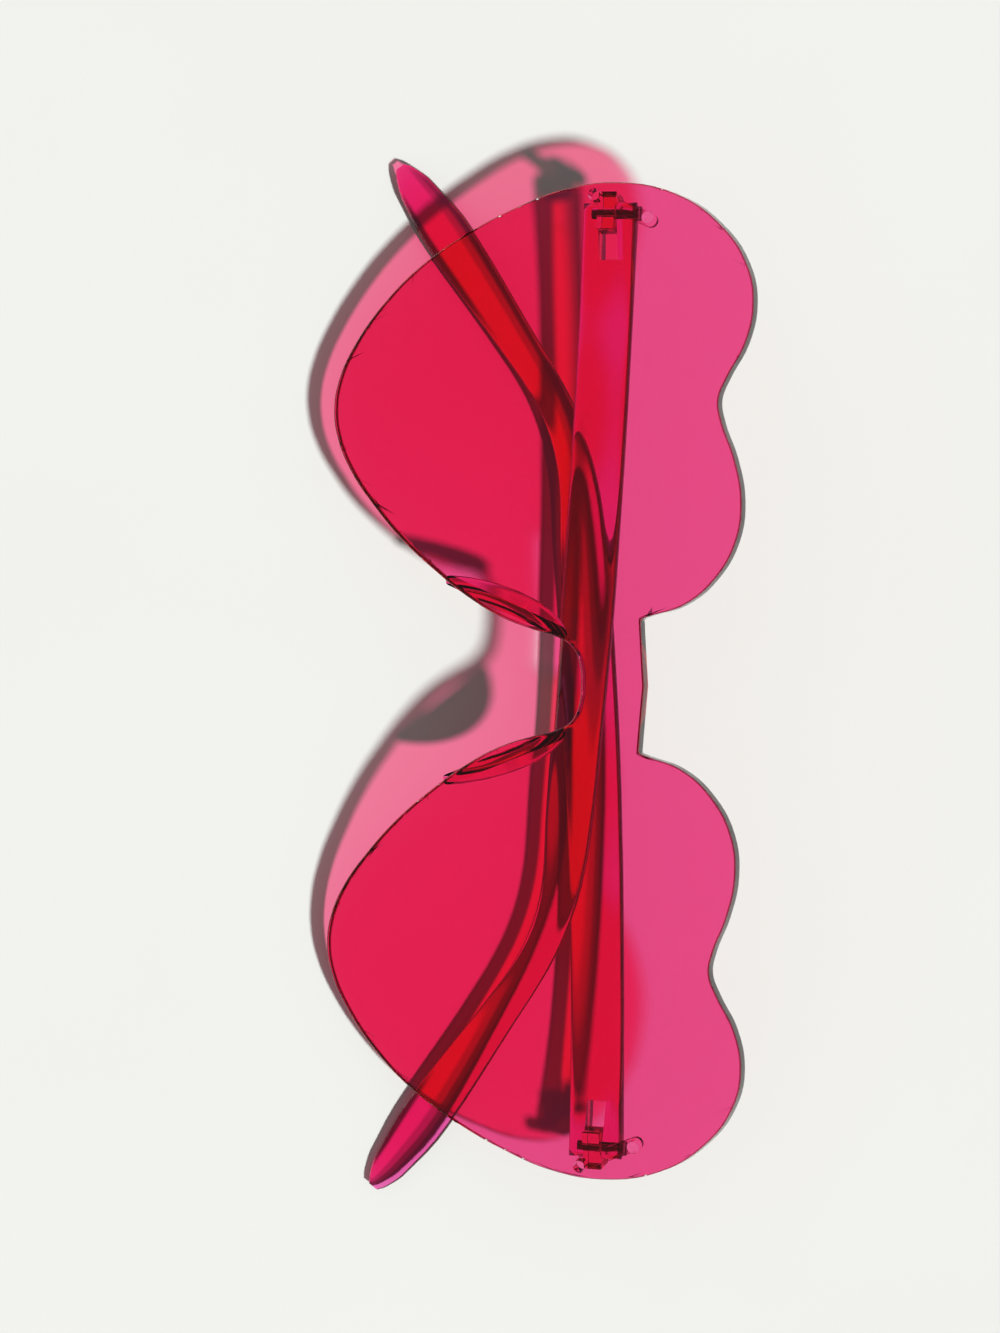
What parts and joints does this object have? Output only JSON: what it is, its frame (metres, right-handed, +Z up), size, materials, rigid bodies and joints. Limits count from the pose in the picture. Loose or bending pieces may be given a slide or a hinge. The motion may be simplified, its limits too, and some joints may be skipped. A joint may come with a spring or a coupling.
{
  "type": "heart shaped sunglasses",
  "caption": "Rimless sunglasses with a one-piece clear pink double-heart front, clear nose pads and folding temples on screwed hinges.",
  "frame": {"origin": "middle of the bounding box on the table that the folded glasses lie on, face up", "axes": "+X along the front from the right temple's hinge to the left temple's, +Y across the table from the heart points towards the lobes, +Z up from the table"},
  "size_m": [0.1572, 0.0632, 0.0327],
  "materials": {
    "tinted_lens": "polished transparent pink sheet with polished edges",
    "tinted_pad": "polished transparent pink",
    "tinted_block": "polished transparent pink",
    "tinted_temple": "polished transparent pink, tumbled round edges",
    "screw_steel": "dark turned steel"
  },
  "bodies": {
    "front": {"front_shield": "tinted_lens", "left_nose_pad": "tinted_pad", "right_nose_pad": "tinted_pad", "left_hinge_block": "tinted_block", "right_hinge_block": "tinted_block"},
    "left_arm": {"left_temple": "tinted_temple", "left_hinge_screw": "screw_steel"},
    "right_arm": {"right_temple": "tinted_temple", "right_hinge_screw": "screw_steel"}
  },
  "joints": [
    {"name": "left_hinge", "type": "hinge", "parent": "front", "child": "left_arm", "pos_m": [0.07037, 0.01025, 0.00871], "axis": [-0.0128, -0.9304, -0.3663], "range_deg": [0, 80]},
    {"name": "right_hinge", "type": "hinge", "parent": "front", "child": "right_arm", "pos_m": [-0.06994, 0.01025, 0.01361], "axis": [0.0128, 0.9304, 0.3663], "range_deg": [0, 84.5]}
  ],
  "couplings": [
    {"joint": "right_hinge", "follows": "left_hinge", "ratio": 0.35}
  ]
}
